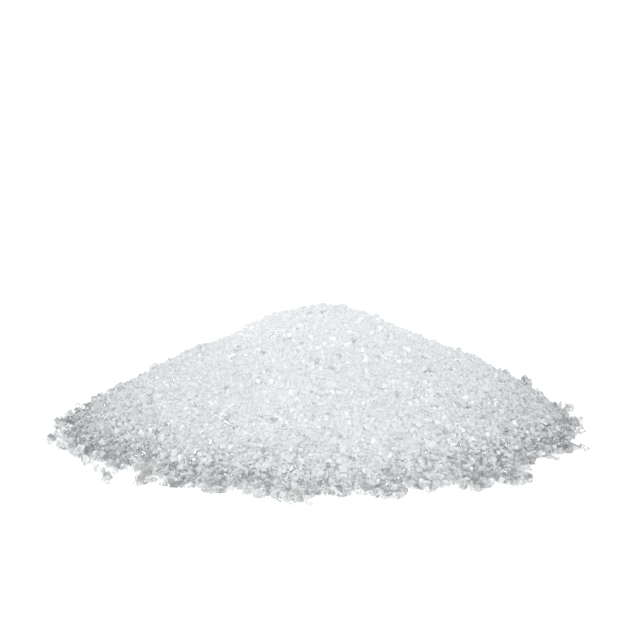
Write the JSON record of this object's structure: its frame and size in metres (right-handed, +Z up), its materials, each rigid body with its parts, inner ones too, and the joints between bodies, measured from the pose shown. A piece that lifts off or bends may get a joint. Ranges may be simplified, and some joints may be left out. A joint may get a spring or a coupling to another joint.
{
  "type": "heap of granulated sweetener",
  "caption": "Low conical heap of white granulated sweetener crystals, with a blunt tip, a slack uneven foot and a ragged one-crystal-thick skirt, lying on a table.",
  "frame": {"origin": "middle of the heap's foot, on the table", "axes": "+Z up, -Y towards the picture's camera, +X to its right"},
  "size_m": [0.0622, 0.066, 0.0157],
  "materials": {
    "crystals": "satin"
  },
  "bodies": {
    "root": {"heap": "crystals"}
  },
  "joints": []
}
